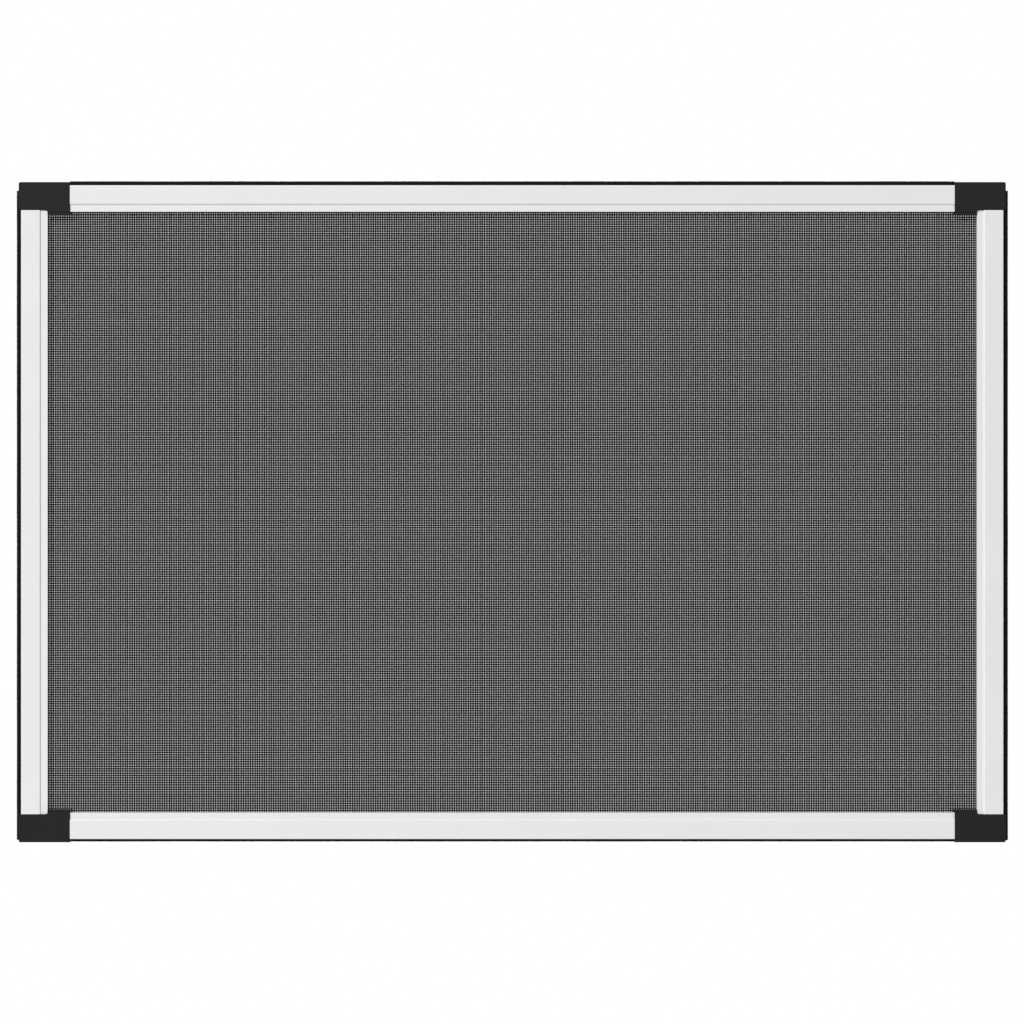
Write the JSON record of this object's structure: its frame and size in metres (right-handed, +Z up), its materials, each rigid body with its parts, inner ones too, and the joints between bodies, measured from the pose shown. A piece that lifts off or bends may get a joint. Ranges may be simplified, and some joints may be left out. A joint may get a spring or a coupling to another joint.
{
  "type": "window screen frame",
  "caption": "Rectangular window insect screen: white metal rails, black moulded corner blocks, dark woven mesh held by splines, and brush seals along the outer edges.",
  "frame": {"origin": "centre of the whole frame, half way through its depth", "axes": "+X along the long side to the right as seen from the front, +Z up, and the front looks towards -Y"},
  "size_m": [0.75, 0.009, 0.5],
  "materials": {
    "white_rail": "matt white powder coat",
    "black_plastic": "fine moulded texture",
    "mesh_cloth": "woven coated thread",
    "spline_rubber": "matt",
    "brush_pile": "dense bristle pile"
  },
  "bodies": {
    "root": {"top_rail": "white_rail", "bottom_rail": "white_rail", "left_stile": "white_rail", "right_stile": "white_rail", "corner_top_left": "black_plastic", "corner_top_right": "black_plastic", "corner_bottom_left": "black_plastic", "corner_bottom_right": "black_plastic", "insect_mesh": "mesh_cloth", "spline_top": "spline_rubber", "spline_bottom": "spline_rubber", "spline_left": "spline_rubber", "spline_right": "spline_rubber", "brush_top": "brush_pile", "brush_bottom": "brush_pile", "brush_left": "brush_pile", "brush_right": "brush_pile"}
  },
  "joints": []
}
